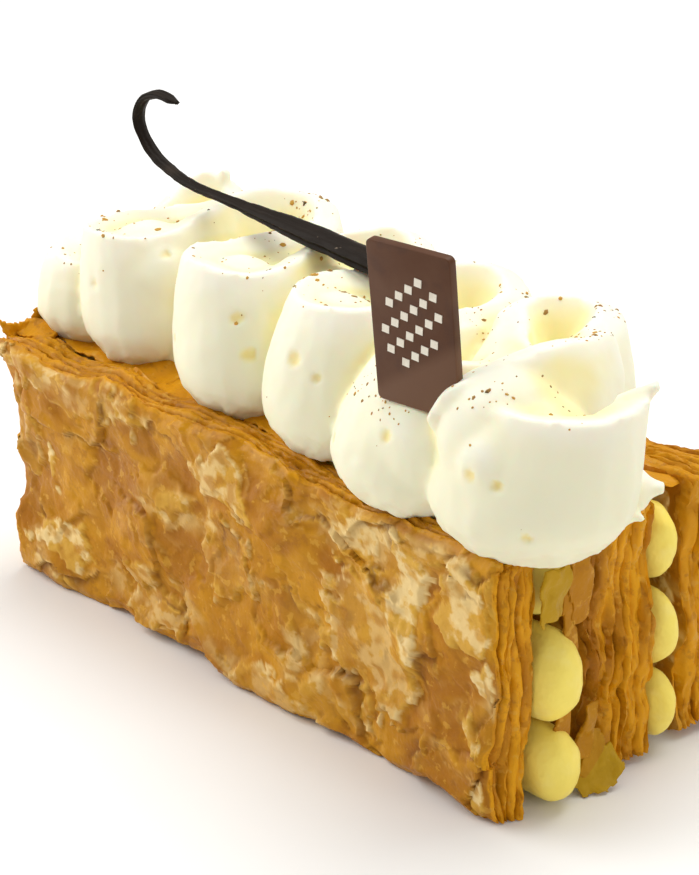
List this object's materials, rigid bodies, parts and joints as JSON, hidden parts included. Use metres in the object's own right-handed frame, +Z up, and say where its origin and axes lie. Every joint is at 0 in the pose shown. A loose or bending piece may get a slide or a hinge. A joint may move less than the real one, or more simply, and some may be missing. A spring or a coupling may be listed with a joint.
{
  "type": "mille feuille slice",
  "caption": "Puff pastry slice lying on its side: three upright pastry slabs with custard ropes between them, a ribbon of whipped cream on top, a vanilla pod and a small chocolate plaque.",
  "frame": {"origin": "middle of the slice's outer box, on the surface it stands on", "axes": "+X along the slice towards the cut end with the overhanging cream, -Y out of the front crust, +Z up"},
  "size_m": [0.1395, 0.0543, 0.087],
  "materials": {
    "baked_crust": "matte, crisp baked pastry",
    "custard": "satin, set custard",
    "whipped_cream": "satin, firm cream",
    "dried_pod": "dull, wrinkled",
    "chocolate": "satin, tempered"
  },
  "bodies": {
    "root": {"pastry_front": "baked_crust", "pastry_middle": "baked_crust", "pastry_back": "baked_crust", "custard_front_1": "custard", "custard_front_2": "custard", "custard_front_3": "custard", "custard_rear_1": "custard", "custard_rear_2": "custard", "custard_rear_3": "custard", "whipped_cream": "whipped_cream", "vanilla_pod": "dried_pod", "chocolate_plaque": "chocolate"}
  },
  "joints": []
}
